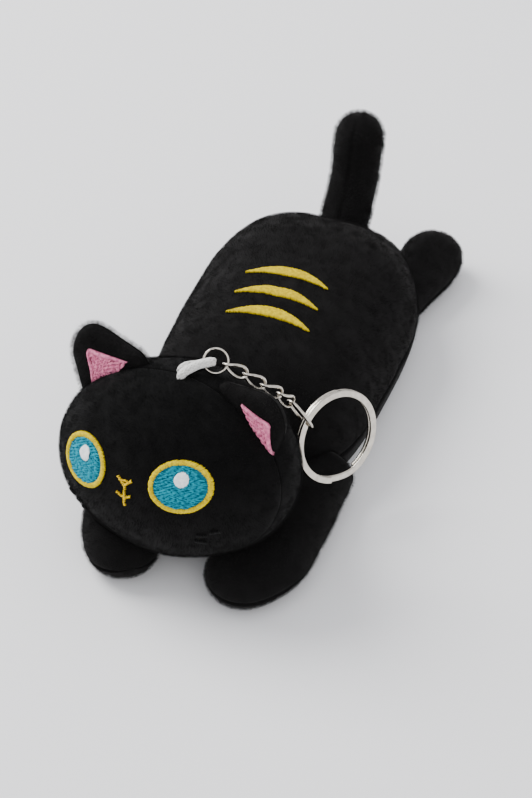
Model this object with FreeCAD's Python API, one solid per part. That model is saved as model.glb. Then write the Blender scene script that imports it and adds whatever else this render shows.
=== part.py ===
import FreeCAD, Part
import math
import os

# Plush cat keychain. It lies on its flat belly, facing -Y, with +Z up.
# The origin is the centre of the belly's flat face. Lengths are in millimetres.

Vec = FreeCAD.Vector
Turn = FreeCAD.Rotation
UP = Vec(0, 0, 1)

# ---- driving dimensions ----
SKIN = 1.2            # plush fabric with its pile pressed down
GAP = 0.05            # between a skin and its stuffing
TRIM = 0.1            # between one stuffed part and the next
THREAD = 0.65         # how far embroidery stands on the skin

TORSO_HALF_WIDTH = 30.3
TORSO_FRONT = 44.0
TORSO_BACK = 52.0
TORSO_TOP = 37.0
TORSO_SEAM = 9.0      # height of the side seam
TORSO_TUCK = 5.0      # how far the belly draws in from the seam
TORSO_TAPER = 0.0012  # the neck is narrower than the rump, per mm of length

HEAD_CENTRE = Vec(-5.35, -62.0, 27.45)
HEAD_HALF_WIDTH = 32.3
HEAD_RADIUS = 24.2
HEAD_TURN = Turn(UP, -13.7) * Turn(Vec(1, 0, 0), -16.0) * Turn(Vec(0, 1, 0), -7.7)
HEAD_SEAM = -4.0      # the ear-to-ear seam, in front of the head's middle

EYE_X = 13.85
EYE_Z = 3.0
EYE_HALF = (7.8, 7.0)
EYE_RIM = 1.35

FRONT_LEG = (9.5, 7.3, 6.6)   # half width, half height, height of the middle
REAR_LEG = (8.6, 7.3, 6.6)
LEG_SEAM = 4.5
TAIL_RADIUS = 6.3

CORD_RADIUS = 1.25
CORD_BEND = 1.95      # centre line of the cord's turn through the jump ring

JUMP_RADIUS = 3.05
JUMP_WIRE = 0.5
JUMP_CENTRE = Vec(1.45, -53.48, 53.38)

LINK_WIRE = 0.375     # radius
LINK_HALF_WIDTH = 1.75
LINK_PITCH = 5.4
LINK_COUNT = 4
END_WIRE = 0.45
END_HALF_WIDTH = 2.3
PLAY = 0.12           # running clearance between chain pieces

KEY_RADIUS = 12.5     # outer radius of the split ring
KEY_BAND = 1.8        # radial width of its wire
KEY_TURN = 0.92       # thickness of one of its two turns
KEY_CENTRE = Vec(28.3, -39.4, 25.0)
KEY_NORMAL = Vec(0.8095, -0.534, 0.246).normalize()

# The hardware lies facing this way, up and out over the cat's left shoulder.
FACE = Vec(0.2494, -0.7243, 0.6428).normalize()
ACROSS = Vec(0.9455, 0.3256, 0.0)
RISE = FACE.cross(ACROSS)


# ---- small helpers ----
def save(name, shape):
    shape.exportStep(f"parts/{name}.step")


def cut(shape, *tools):
    for tool in tools:
        shape = shape.cut(tool)
    return shape


def slab(low, high, size=300.0):
    """Everything between two heights."""
    return Part.makeBox(size, size, high - low, Vec(-size / 2, -size / 2, low))


def power(value, exponent):
    return math.copysign(abs(value) ** exponent, value)


def closed_curve(points):
    """A smooth closed wire through points."""
    curve = Part.BSplineCurve()
    curve.interpolate(Points=points, PeriodicFlag=True)
    return Part.Wire([curve.toShape()])


def oval_ring(centre, across, up, points=24):
    """A closed wire round a centre; across and up are its two half axes as vectors."""
    ring = []
    for i in range(points):
        angle = 2 * math.pi * i / points
        ring.append(centre + across * math.cos(angle) + up * math.sin(angle))
    return closed_curve(ring)


def outward(shape):
    """Turn a solid right side out if it was made inside out."""
    return shape.reversed() if shape.Volume < 0 else shape


def sweep(face, moves):
    """What a flat face passes through on straight runs and round bends.

    A run is a vector; a bend is its hub, axis and angle.
    """
    pieces = []
    for move in moves:
        if isinstance(move, Vec):
            pieces.append(outward(face.extrude(move)))
            face = face.translated(move)
        else:
            pieces.append(outward(face.revolve(*move)))
            face = face.rotated(*move)
    return pieces[0].multiFuse(pieces[1:]), face


def on_head(shape):
    """Carry a shape made in the head's own frame to its place."""
    moved = shape.copy()
    head = FreeCAD.Placement(HEAD_CENTRE, HEAD_TURN)
    moved.Placement = head.multiply(shape.Placement)
    return moved


# ---- torso ----
def torso_outline(half_width, front, back, height, squareness=3.2, points=32):
    """A rounded rectangle in plan, narrower at the neck, at one height."""
    ring = []
    for i in range(points):
        angle = 2 * math.pi * i / points
        across = power(math.cos(angle), 2 / squareness)
        along = power(math.sin(angle), 2 / squareness)
        y = along * (back if along > 0 else front)
        ring.append(Vec(across * half_width * (1 + TORSO_TAPER * y), y, height))
    return closed_curve(ring)


def torso_solid(grow=0.0):
    """The stuffed torso: flat below, widest at its seam and crowned above."""
    half_width = TORSO_HALF_WIDTH + grow
    front = TORSO_FRONT + grow
    back = TORSO_BACK + grow
    floor = max(-grow, 0.0)
    rise = TORSO_TOP + grow - TORSO_SEAM
    rings = []
    for share in (0.0, 0.3, 0.65):
        height = floor + share * (TORSO_SEAM - floor)
        inset = TORSO_TUCK * (1 - math.sqrt(1 - (1 - share) ** 2))
        rings.append(torso_outline(half_width - inset, front - inset, back - inset, height))
    for step in range(8):
        lift = math.sin(math.radians(step * 11.5))
        wide = (1 - lift ** 2.2) ** (1 / 2.2)
        long = (1 - lift ** 2.8) ** (1 / 2.8)
        height = TORSO_SEAM + rise * lift
        rings.append(torso_outline(half_width * wide, front * long, back * long, height))
    return Part.makeLoft(rings, True, False)


def crescent(centre_x, centre_y, half_length, sag, thick):
    """A tapered claw stripe seen from above, bowed towards the rump."""
    ends = [Vec(centre_x + s * half_length, centre_y, 20) for s in (-1, 1)]
    outer = Part.Arc(ends[0], Vec(centre_x, centre_y + sag, 20), ends[1])
    inner = Part.Arc(ends[1], Vec(centre_x, centre_y + sag - thick, 20), ends[0])
    face = Part.Face(Part.Wire([outer.toShape(), inner.toShape()]))
    return face.extrude(Vec(0, 0, 30))


def build_torso(head_space):
    outer = torso_solid()
    inner = torso_solid(-SKIN)
    skin = outer.cut(inner).cut(head_space)
    save("torso_back_panel", skin.common(slab(TORSO_SEAM, 60)))
    save("torso_belly_panel", skin.common(slab(-1, TORSO_SEAM)))
    save("torso_stuffing", torso_solid(-SKIN - GAP).cut(head_space))
    stand = torso_solid(THREAD).cut(torso_solid(GAP))
    for number, (x, y) in enumerate(((0.3, 4.2), (0.5, -5.0), (1.0, -13.4)), start=1):
        save(f"back_stripe_{number}", stand.common(crescent(x, y, 11.4, 4.3, 3.1)))


# ---- head ----
def head_solid(grow=0.0):
    """The head in its own frame: a ball drawn out from ear to ear."""
    rings = []
    steps = 14
    for step in range(steps + 1):
        angle = math.radians(4 + 172 * step / steps)
        centre = Vec(-(HEAD_HALF_WIDTH + grow) * math.cos(angle), 0, 0)
        radius = (HEAD_RADIUS + grow) * math.sin(angle)
        rings.append(oval_ring(centre, Vec(0, radius, 0), Vec(0, 0, radius)))
    return outward(Part.makeLoft(rings, True, False))


def half_space(front):
    """The part of the head's frame before or behind its seam."""
    start = HEAD_SEAM - 60 if front else HEAD_SEAM
    return Part.makeBox(100, 60, 100, Vec(-50, start, -50))


def face_prism(outline, depth=60.0):
    """Push a flat outline, drawn on the head's X-Z plane, forward out of the face."""
    return Part.Face(outline).extrude(Vec(0, -depth, 0))


def oval(x, z, half_x, half_z, tilt):
    """An oval on the head's X-Z plane, its long axis tilted from X."""
    ellipse = Part.Ellipse(Vec(0, 0, 0), half_x, half_z).toShape()
    wire = Part.Wire([ellipse])
    wire.Placement = FreeCAD.Placement(
        Vec(x, 0, z), Turn(Vec(0, 1, 0), -tilt) * Turn(Vec(1, 0, 0), 90))
    return wire


def stroke(start, end, width):
    """A straight stitch with round ends on the head's X-Z plane."""
    a, b = Vec(start[0], 0, start[1]), Vec(end[0], 0, end[1])
    along = (b - a).normalize() * (width / 2)
    side = Vec(0, 1, 0).cross(along)
    edges = [
        Part.makeLine(a + side, b + side),
        Part.Arc(b + side, b + along, b - side).toShape(),
        Part.makeLine(b - side, a - side),
        Part.Arc(a - side, a - along, a + side).toShape(),
    ]
    return face_prism(Part.Wire(edges))


def layer(low, high):
    """The thin space over the head's skin that thread fills."""
    return head_solid(high).cut(head_solid(low))


def build_eye(side, name):
    """Yellow rim, teal iris and white highlight, each a patch of satin stitch."""
    x, tilt = side * EYE_X, side * 4.0
    rim = oval(x, EYE_Z, EYE_HALF[0], EYE_HALF[1], tilt)
    iris = oval(x, EYE_Z, EYE_HALF[0] - EYE_RIM, EYE_HALF[1] - EYE_RIM, tilt)
    inside = oval(x, EYE_Z, EYE_HALF[0] - EYE_RIM - GAP, EYE_HALF[1] - EYE_RIM - GAP, tilt)
    glint = oval(x + 0.4, EYE_Z + 2.0, 1.9, 1.6, 90)
    rim_space = face_prism(rim).cut(face_prism(iris))
    save(f"{name}_rim", on_head(layer(GAP, THREAD).common(rim_space)))
    save(f"{name}_iris", on_head(layer(GAP, THREAD - 0.1).common(face_prism(inside))))
    save(f"{name}_highlight", on_head(layer(THREAD - GAP, THREAD + 0.3).common(face_prism(glint))))


def build_marks():
    """Nose, mouth and cheek stitches."""
    over = layer(GAP, THREAD)
    nose = [((-2.2, 2.8), (-0.2, 1.0), 0.75), ((1.8, 2.5), (0.1, 1.1), 0.7)]
    mouth = [((-0.1, -0.1), (-0.3, -4.4), 0.65), ((-2.3, -1.3), (-0.6, -2.0), 0.6),
             ((0.2, -2.1), (1.6, -1.6), 0.6)]
    cheek = [((16.0, -11.9), (18.2, -12.4), 0.6), ((16.8, -10.0), (18.9, -10.0), 0.6),
             ((19.8, -8.9), (21.8, -8.5), 0.6)]
    save("nose_stitches", on_head(over.common(fused(nose))))
    save("mouth_stitches", on_head(over.common(fused(mouth))))
    for side, name in ((-1, "right"), (1, "left")):
        marks = [stroke((side * a[0], a[1]), (side * b[0], b[1]), w) for a, b, w in cheek]
        dots = [over.common(mark) for mark in marks]
        save(f"{name}_cheek_stitches", on_head(Part.Compound(dots)))


def fused(strokes):
    shapes = [stroke(*one) for one in strokes]
    return shapes[0].multiFuse(shapes[1:])


def build_head(cord_space, knot_space):
    skin = head_solid().cut(head_solid(-SKIN))
    for front, name in ((True, "head_face_panel"), (False, "head_back_panel")):
        save(name, cut(on_head(skin.common(half_space(front))), cord_space))
    save("head_stuffing", cut(on_head(head_solid(-SKIN - GAP)), cord_space, knot_space))
    build_eye(-1, "right_eye")
    build_eye(1, "left_eye")
    build_marks()


# ---- ears ----
EAR_HALF_BASE = 11.8
EAR_ROOT = 6.0        # how far the ear's sides run on down into the head
EAR_TIP = 7.2         # radius of its rounded tip
EAR_THICK = 5.6
EAR_MIDDLE = -1.6     # where its middle lies, front to back


def mirrored(point):
    return Vec(-point.x, point.y, point.z)


def ear_outline(height, inset):
    """A rounded triangle on a straight root, tip up +Z, in its own X-Z plane."""
    tip = EAR_TIP - inset * 0.6
    centre = Vec(0, 0, height - EAR_TIP - inset * 0.3)
    base = Vec(EAR_HALF_BASE - inset, 0, 0)
    reach = (base - centre).Length
    lean = math.acos(tip / reach) - math.atan2(centre.z, base.x)
    touch = centre + Vec(math.cos(lean), 0, math.sin(lean)) * tip
    foot = base - Vec(0, 0, EAR_ROOT)
    right = [Part.makeLine(foot, base), Part.makeLine(base, touch)]
    left = [Part.makeLine(mirrored(touch), mirrored(base)),
            Part.makeLine(mirrored(base), mirrored(foot))]
    arc = Part.Arc(touch, centre + Vec(0, 0, tip), mirrored(touch)).toShape()
    return Part.Wire(right + [arc] + left + [Part.makeLine(mirrored(foot), foot)])


def ear_place(side, direction, distance, flop):
    """Stand an ear on the head, out along one direction of its seam plane."""
    angle = math.radians(direction)
    at = Vec(side * distance * math.cos(angle), EAR_MIDDLE, distance * math.sin(angle))
    lean = Turn(Vec(0, 1, 0), side * (90 - direction))
    return FreeCAD.Placement(at, lean * Turn(Vec(1, 0, 0), flop))


def build_ear(name, height, place, head_space):
    """Two fabric panels sewn round the edge, and the pink inner ear on the front."""
    half = EAR_THICK / 2
    blank = Part.Face(ear_outline(height, 0)).extrude(Vec(0, EAR_THICK, 0))
    blank.translate(Vec(0, -half, 0))
    rim = [edge for edge in blank.Edges
           if edge.BoundBox.ZMax > 1 and edge.BoundBox.YLength < 0.1]
    puffy = blank.makeFillet(2.2, rim)
    seam = Part.makeBox(80, 40, 80, Vec(-40, -40, -40))
    pink = Part.Face(ear_outline(height, 4.2)).extrude(Vec(0, -THREAD, 0))
    pink.translate(Vec(0, -half - GAP, 0))
    pieces = {"front": puffy.common(seam), "back": puffy.cut(seam), "inner": pink}
    for part, shape in pieces.items():
        shape.Placement = place.multiply(shape.Placement)
        save(f"{name}_ear_{part}", cut(on_head(shape), head_space))


# ---- legs ----
def leg_stations(route, half_width):
    """Centre, direction and size share along a leg: its root, run, bend and paw."""
    (x, y), heading, run, bend, angle = route
    way = Turn(UP, heading).multVec(Vec(1, 0, 0))
    side = UP.cross(way) * math.copysign(1, angle)
    start = Vec(x, y, 0)
    corner = start + way * run
    hub = corner + side * bend
    stations = []
    for lean in (76, 50, 25):
        lean = math.radians(lean)
        stations.append((start - way * (half_width * math.sin(lean)), way, math.cos(lean)))
    stations += [(start, way, 1), ((start + corner) / 2, way, 1), (corner, way, 1)]
    for share in (1 / 3, 2 / 3, 1):
        turn = Turn(UP, angle * share)
        last = hub + turn.multVec(corner - hub)
        on = turn.multVec(way)
        stations.append((last, on, 1))
    for lean in (20, 38, 54, 68, 79):
        lean = math.radians(lean)
        stations.append((last + on * (half_width * math.sin(lean)), on, math.cos(lean)))
    return stations


def leg_solid(route, size, grow):
    """A flattened tube with round ends."""
    half_width, half_height = size[0] + grow, size[1] + grow
    rings = []
    for centre, way, share in leg_stations(route, half_width):
        centre = centre + UP * size[2]
        across = UP.cross(way) * (half_width * share)
        rings.append(oval_ring(centre, across, UP * (half_height * share)))
    return outward(Part.makeLoft(rings, True, False))


def build_leg(name, route, size, *spaces):
    outer = leg_solid(route, size, 0).common(slab(0, 40))
    inner = leg_solid(route, size, -SKIN).common(slab(SKIN, 40))
    skin = cut(outer.cut(inner), *spaces)
    fill = leg_solid(route, size, -SKIN - GAP).common(slab(SKIN + GAP, 40))
    save(f"{name}_upper", skin.common(slab(LEG_SEAM, 40)))
    save(f"{name}_sole", skin.common(slab(-1, LEG_SEAM)))
    save(f"{name}_stuffing", cut(fill, *spaces))


LEG_ROUTES = {
    # root, heading in degrees from +X, straight run, bend radius, bend angle
    "left_front_leg": ((22.0, -34.0), -90.0, 30.0, 16.0, -50.0),
    "right_front_leg": ((-20.5, -34.0), -90.0, 28.0, 24.0, 35.0),
    "left_rear_leg": ((19.0, 42.0), 74.0, 13.0, 40.0, 14.0),
    "right_rear_leg": ((-19.5, 38.0), 98.0, 4.0, 30.0, -14.0),
}


# ---- tail ----
TAIL_START = Vec(1.8, 47.0, 20.5)
TAIL_SLOPE = 42.0
TAIL_RUN = 8.0
TAIL_BEND = 30.0
TAIL_TURN = 32.0
TAIL_RISE = 5.0


def tail_solid(radius):
    """Straight out of the rump, round a bend and up to a round tip."""
    lift = Turn(Vec(1, 0, 0), TAIL_SLOPE)
    way, side = lift.multVec(Vec(0, 1, 0)), lift.multVec(UP)
    hub = TAIL_START + way * TAIL_RUN + side * TAIL_BEND
    turn = Turn(Vec(1, 0, 0), TAIL_TURN)
    last = turn.multVec(way)
    section = Part.Face(Part.Wire([Part.makeCircle(radius, TAIL_START, way)]))
    moves = [way * TAIL_RUN, (hub, Vec(1, 0, 0), TAIL_TURN), last * TAIL_RISE]
    tube, end = sweep(section, moves)
    return tube.fuse(Part.makeSphere(radius, end.CenterOfMass, last, 0, 90, 360))


def build_tail(torso_space):
    cover = tail_solid(TAIL_RADIUS).cut(tail_solid(TAIL_RADIUS - SKIN))
    save("tail_cover", cover.cut(torso_space))
    save("tail_stuffing", tail_solid(TAIL_RADIUS - SKIN - GAP).cut(torso_space))


# ---- cord ----
CORD_LEAN = 12.0      # the cord climbs this much on its way to the jump ring
CORD_SPREAD = 1.32    # half the distance between its two strands at the crown
CROWN = HEAD_CENTRE + HEAD_TURN.multVec(Vec(2.2, HEAD_SEAM, 23.6))
CROWN_OUT = HEAD_TURN.multVec(Vec(0.05, -0.15, 1.0)).normalize()
STRAND_WAY = (FACE - CROWN_OUT * FACE.dot(CROWN_OUT)).normalize()


def jump_axes():
    """The jump ring's radius towards the cord, its tangent there and its normal."""
    lean = math.radians(CORD_LEAN)
    radius = ACROSS * math.cos(lean) + RISE * math.sin(lean)
    return radius, FACE.cross(radius), FACE


def cord_points():
    """The corners of the cord's route, from one end in the head to the other."""
    radius, _, normal = jump_axes()
    held = JUMP_CENTRE - radius * JUMP_RADIUS
    points = []
    for side in (1, -1):
        foot = CROWN + STRAND_WAY * (side * CORD_SPREAD)
        aside = normal * (side * CORD_BEND)
        strand = [foot - CROWN_OUT * 5.0, foot + CROWN_OUT * 1.6,
                  held - radius * 1.3 + aside, held + radius * CORD_BEND + aside]
        points += strand if side > 0 else strand[::-1]
    return points


CORD_RADII = (2.2, 2.2, CORD_BEND * 0.995, CORD_BEND * 0.995, 2.2, 2.2)


def cord_solid(radius):
    """Straight runs joined by tangent bends."""
    points = cord_points()
    last = points[0]
    face = Part.Face(Part.Wire([Part.makeCircle(radius, last, points[1] - last)]))
    moves = []
    for before, corner, after, bend in zip(points, points[1:], points[2:], CORD_RADII):
        way = (corner - before).normalize()
        on = (after - corner).normalize()
        angle = way.getAngle(on)
        cutoff = bend * math.tan(angle / 2)
        hub = corner + (on - way).normalize() * (bend / math.cos(angle / 2))
        moves += [corner - way * cutoff - last, (hub, way.cross(on), math.degrees(angle))]
        last = corner + on * cutoff
    moves.append(points[-1] - last)
    return sweep(face, moves)[0]


def knot_solid(grow=0.0):
    """The lump that both cord ends are tied into, inside the head."""
    centre = CROWN - CROWN_OUT * 5.6
    ball = Part.makeSphere(3.4 + grow)
    ball.Placement = FreeCAD.Placement(centre, HEAD_TURN)
    return ball


# ---- rings ----
def coil(radius, section, turn, jog):
    """Two flat turns of wire about Z, joined by one short ramp, as on a split ring.

    section gives the wire's outline at a radius and height; turn is a turn's thickness.
    """
    half = turn / 2
    flats = []
    for height in (-half, half):
        face = Part.Face(section(radius, height))
        face.rotate(Vec(0, 0, 0), UP, jog / 2)
        flats.append(face.revolve(Vec(0, 0, 0), UP, 360 - jog))
    ramp = []
    steps = 6
    for i in range(steps + 1):
        share = i / steps
        height = -half + turn * share * share * (3 - 2 * share)
        wire = section(radius, height)
        wire.rotate(Vec(0, 0, 0), UP, -jog / 2 + jog * share)
        ramp.append(wire)
    return Part.makeLoft(ramp, True, False).fuse(flats)


def band_section(radius, height):
    """A flattened wire's outline with rounded corners, on the X-Z plane."""
    half_x, half_z, corner = KEY_BAND / 2, (KEY_TURN - 0.06) / 2, 0.28
    k = corner * (1 - math.sqrt(0.5))
    edges = []
    quarters = ((1, 1), (-1, 1), (-1, -1), (1, -1))
    ends = []
    for sx, sz in quarters:
        x, z = radius + sx * half_x, height + sz * half_z
        side, level = Vec(x, 0, z - sz * corner), Vec(x - sx * corner, 0, z)
        middle = Vec(x - sx * k, 0, z - sz * k)
        first, second = (side, level) if sx * sz > 0 else (level, side)
        edges.append(Part.Arc(first, middle, second).toShape())
        ends.append((first, second))
    for i in range(4):
        edges.append(Part.makeLine(ends[i][1], ends[(i + 1) % 4][0]))
    return Part.Wire(Part.__sortEdges__(edges))


def wire_section(radius, height):
    return Part.Wire([Part.makeCircle(JUMP_WIRE / 2, Vec(radius, 0, height), Vec(0, 1, 0))])


def stand_on(shape, centre, x_axis, y_axis, z_axis):
    """Carry a shape from the origin to a centre and three axes."""
    matrix = FreeCAD.Matrix(
        x_axis.x, y_axis.x, z_axis.x, centre.x,
        x_axis.y, y_axis.y, z_axis.y, centre.y,
        x_axis.z, y_axis.z, z_axis.z, centre.z, 0, 0, 0, 1)
    moved = shape.copy()
    moved.Placement = FreeCAD.Placement(matrix)
    return moved


def key_axes():
    """The split ring's own X runs to its lowest point, where its ramp is."""
    low = UP * -1 + KEY_NORMAL * KEY_NORMAL.z
    low = low.normalize()
    return low, KEY_NORMAL.cross(low), KEY_NORMAL


def key_hold():
    """Where the end link holds the split ring, and the ring's tangent there."""
    toward = Vec(-6.3, -5.9, 8.0)
    toward = (toward - KEY_NORMAL * toward.dot(KEY_NORMAL)).normalize()
    return KEY_CENTRE + toward * (KEY_RADIUS - KEY_BAND / 2), KEY_NORMAL.cross(toward)


# ---- chain ----
CHAIN_TWIST = 90.0    # a curb link's two ends are a quarter turn apart
CHAIN_START = -23.0   # where the first link hangs on the jump ring, from ACROSS
# Each link's heading, in degrees from ACROSS, and its fall away from FACE.
CHAIN_STEPS = ((-26.6, -1.3), (-31.5, -1.7), (-27.2, -2.7), (-39.2, -4.1))


def chain_pins():
    """The points about which the links swing, from the jump ring to the split ring."""
    angle = math.radians(CHAIN_START)
    radial = ACROSS * math.cos(angle) + RISE * math.sin(angle)
    pins = [JUMP_CENTRE + radial * JUMP_RADIUS]
    for heading, fall in CHAIN_STEPS:
        angle = math.radians(heading)
        flat = ACROSS * math.cos(angle) + RISE * math.sin(angle)
        reach = math.sqrt(LINK_PITCH ** 2 - fall ** 2)
        pins.append(pins[-1] + flat * reach + FACE * fall)
    pins.append(key_hold()[0])
    return pins, FACE.cross(radial)


def closed_wire(half_length, half_width, wire, start_roll, end_roll, count=28, around=8):
    """A closed oval of round wire along X, rolling about X from end to end."""
    def point(angle):
        x = half_length * power(math.cos(angle), 0.8)
        v = half_width * power(math.sin(angle), 0.8)
        share = (x / half_length + 1) / 2
        roll = math.radians(start_roll + (end_roll - start_roll) * share)
        return Vec(x, v * math.cos(roll), v * math.sin(roll))

    swell = 3 / (2 + math.cos(2 * math.pi / around))
    poles = []
    for i in range(count):
        angle = 2 * math.pi * i / count
        here = point(angle)
        along = (point(angle + 0.01) - point(angle - 0.01)).normalize()
        out = Vec(here.x * 0.4, here.y, here.z)
        out = (out - along * out.dot(along)).normalize()
        side = along.cross(out)
        ring = []
        for j in range(around):
            turn = 2 * math.pi * j / around
            ring.append(here + (out * math.cos(turn) + side * math.sin(turn)) * (wire * swell))
        poles.append(ring)
    surface = Part.BSplineSurface()
    surface.buildFromPolesMultsKnots(
        poles, [1] * (count + 1), [1] * (around + 1),
        list(range(count + 1)), list(range(around + 1)), True, True, 3, 3)
    return Part.Solid(Part.Shell([surface.toShape()]))


def flat_to(vector, along):
    return (vector - along * vector.dot(along)).normalize()


def link(start_pin, end_pin, start_reach, end_reach, width, wire, start_normal, end_normal):
    """One link between two pins. Each normal is the way its pin's wire runs there."""
    along = (end_pin - start_pin).normalize()
    first, last = start_pin - along * start_reach, end_pin + along * end_reach
    half = (last - first).Length / 2
    side = along.cross(flat_to(start_normal, along))
    other = along.cross(flat_to(end_normal, along))
    roll = math.degrees(math.atan2(side.cross(other).dot(along), side.dot(other)))
    if roll > 90.5:
        roll -= 180
    if roll < -90.5:
        roll += 180
    body = closed_wire(half, width, wire, 0, roll)
    placed = stand_on(body, (first + last) / 2, along, side, along.cross(side))
    tip = Turn(along, roll).multVec(side)
    return placed, tip


def build_chain():
    """Every link, with its pin and the way that the pin's wire runs."""
    pins, normal = chain_pins()
    reach = 2 * LINK_WIRE + PLAY
    made = []
    for i in range(LINK_COUNT):
        along = (pins[i + 1] - pins[i]).normalize()
        first_reach = JUMP_WIRE + LINK_WIRE + PLAY if i == 0 else reach
        level = flat_to(normal, along)
        tip_normal = Turn(along, -CHAIN_TWIST).multVec(level)
        shape, tip = link(pins[i], pins[i + 1], first_reach, 0, LINK_HALF_WIDTH,
                          LINK_WIRE, normal, tip_normal)
        made.append((f"chain_link_{i + 1}", shape, pins[i], normal))
        normal = tip
    _, key_tangent = key_hold()
    shape, _ = link(pins[-2], pins[-1], LINK_WIRE + END_WIRE + 2 * PLAY, 2.1,
                    END_HALF_WIDTH, END_WIRE, normal, key_tangent)
    made.append(("end_link", shape, pins[-2], normal))
    return made


def build_hardware():
    radius, tangent, normal = jump_axes()
    jump = coil(JUMP_RADIUS, wire_section, JUMP_WIRE + 0.05, 40.0)
    save("jump_ring", stand_on(jump, JUMP_CENTRE, tangent, radius * -1, normal))
    for name, shape, _, _ in build_chain():
        save(name, shape)
    key = coil(KEY_RADIUS - KEY_BAND / 2, band_section, KEY_TURN, 40.0)
    save("split_ring", stand_on(key, KEY_CENTRE, *key_axes()))


def main():
    os.makedirs("parts", exist_ok=True)
    head_space = on_head(head_solid(TRIM))
    torso_space = torso_solid(TRIM)
    cord = cord_solid(CORD_RADIUS)
    save("cord_loop", cord)
    save("cord_knot", knot_solid().cut(cord))
    build_torso(head_space)
    build_head(cord_solid(CORD_RADIUS + GAP), knot_solid(GAP))
    build_ear("right", 15.2, ear_place(-1, 41.7, 25.4, 0.0), head_space)
    build_ear("left", 12.2, ear_place(1, 34.8, 25.0, 8.0), head_space)
    for name, route in LEG_ROUTES.items():
        size = FRONT_LEG if "front" in name else REAR_LEG
        build_leg(name, route, size, torso_space, head_space)
    build_tail(torso_space)
    build_hardware()


main()
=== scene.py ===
"""Looks of the plush cat keychain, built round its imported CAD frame."""
import math

import bpy
import numpy as np
from mathutils import Matrix, Vector
from mathutils.bvhtree import BVHTree

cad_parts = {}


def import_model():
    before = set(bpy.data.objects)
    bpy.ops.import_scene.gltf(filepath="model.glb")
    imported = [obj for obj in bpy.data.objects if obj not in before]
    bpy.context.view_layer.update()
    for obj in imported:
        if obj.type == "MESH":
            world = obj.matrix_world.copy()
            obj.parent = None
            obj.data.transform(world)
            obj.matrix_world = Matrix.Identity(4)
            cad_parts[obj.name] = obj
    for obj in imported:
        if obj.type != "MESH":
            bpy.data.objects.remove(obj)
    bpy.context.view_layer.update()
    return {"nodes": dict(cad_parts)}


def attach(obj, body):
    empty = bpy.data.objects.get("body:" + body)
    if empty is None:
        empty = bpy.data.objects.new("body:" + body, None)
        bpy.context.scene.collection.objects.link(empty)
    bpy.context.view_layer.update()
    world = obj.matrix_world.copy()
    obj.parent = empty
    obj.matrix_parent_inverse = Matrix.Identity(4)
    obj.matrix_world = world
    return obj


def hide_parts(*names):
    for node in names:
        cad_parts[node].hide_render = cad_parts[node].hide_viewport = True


MM = 0.001
SEED = 11
rng = np.random.default_rng(SEED)

# ---- sizes, in millimetres, as in the CAD ----
TORSO_HALF_WIDTH, TORSO_FRONT, TORSO_BACK = 30.3, 44.0, 52.0
TORSO_TOP, TORSO_SEAM, TORSO_TUCK, TORSO_TAPER = 37.0, 9.0, 5.0, 0.0012
HEAD_HALF_WIDTH, HEAD_RADIUS, HEAD_SEAM = 32.3, 24.2, -4.0
HEAD_CENTRE = Vector((-5.35, -62.0, 27.45))
HEAD_TURN = (Matrix.Rotation(math.radians(-13.7), 3, "Z")
             @ Matrix.Rotation(math.radians(-16.0), 3, "X")
             @ Matrix.Rotation(math.radians(-7.7), 3, "Y"))
HEAD_NP = np.array(HEAD_TURN)
HEAD_C = np.array(HEAD_CENTRE)
TORSO_COUNT, HEAD_COUNT = 360, 320  # points round a ring
EYE_X, EYE_Z, EYE_HALF, EYE_RIM, EYE_TILT = 13.85, 3.0, (7.45, 6.5), 1.2, 4.0
EAR_HALF_BASE, EAR_ROOT, EAR_TIP, EAR_THICK, EAR_MIDDLE = 11.8, 6.0, 7.2, 5.6, -1.6
PINKS = {  # half width at the ear's root, tip height, tip radius, first row, shift to the middle
    "right": (7.2, 9.2, 1.0, 0.0, 1.6),
    "left": (7.4, 9.0, 1.2, 3.8, -1.9),
}
EAR_LEAN = {"right": 1.4, "left": 0.0}  # how far the tip leans towards the head's middle
EARS = {  # side, height, direction, distance, flop
    "right": (-1, 14.9, 41.7, 25.4, 0.0),
    "left": (1, 12.2, 34.8, 25.0, 8.0),
}
FRONT_LEG, REAR_LEG, LEG_SEAM = (9.5, 7.3, 6.6), (8.6, 7.3, 6.6), 4.5
LEGS = {  # root, heading, straight run, bend radius, bend angle, section
    "left_front_leg": ((22.0, -34.0), -90.0, 30.0, 16.0, -50.0, FRONT_LEG),
    "right_front_leg": ((-20.5, -34.0), -90.0, 28.0, 24.0, 35.0, FRONT_LEG),
    "left_rear_leg": ((19.0, 42.0), 74.0, 13.0, 40.0, 14.0, REAR_LEG),
    "right_rear_leg": ((-19.5, 38.0), 98.0, 4.0, 30.0, -14.0, REAR_LEG),
}
TAIL_START, TAIL_SLOPE, TAIL_RUN = Vector((1.8, 47.0, 20.5)), 42.0, 8.0
TAIL_BEND, TAIL_TURN, TAIL_RISE, TAIL_RADIUS = 30.0, 32.0, 5.0, 6.5
STRIPES = ((0.3, 4.2), (0.5, -5.0), (1.0, -13.4))
STRIPE_HALF, STRIPE_SAG, STRIPE_THICK = 11.4, 4.5, 3.8
FACE = Vector((0.2494, -0.7243, 0.6428)).normalized()
ACROSS = Vector((0.9455, 0.3256, 0.0))
RISE = FACE.cross(ACROSS)
JUMP_CENTRE, JUMP_RADIUS = Vector((1.45, -53.48, 53.38)), 3.05
CORD_BEND, CORD_SPREAD, CORD_LEAN = 1.95, 1.32, 12.0
BRAID_STRANDS, BRAID_PITCH = 8, 9.0
PILE_LENGTH, PILE_THICK, PILE_PER_MM2, PILE_CHILDREN = 0.6, 0.028, 1.3, 14
METAL_BODIES = ("jump_ring", "chain_link_1", "chain_link_2", "chain_link_3", "chain_link_4",
                "end_link", "split_ring")


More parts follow.
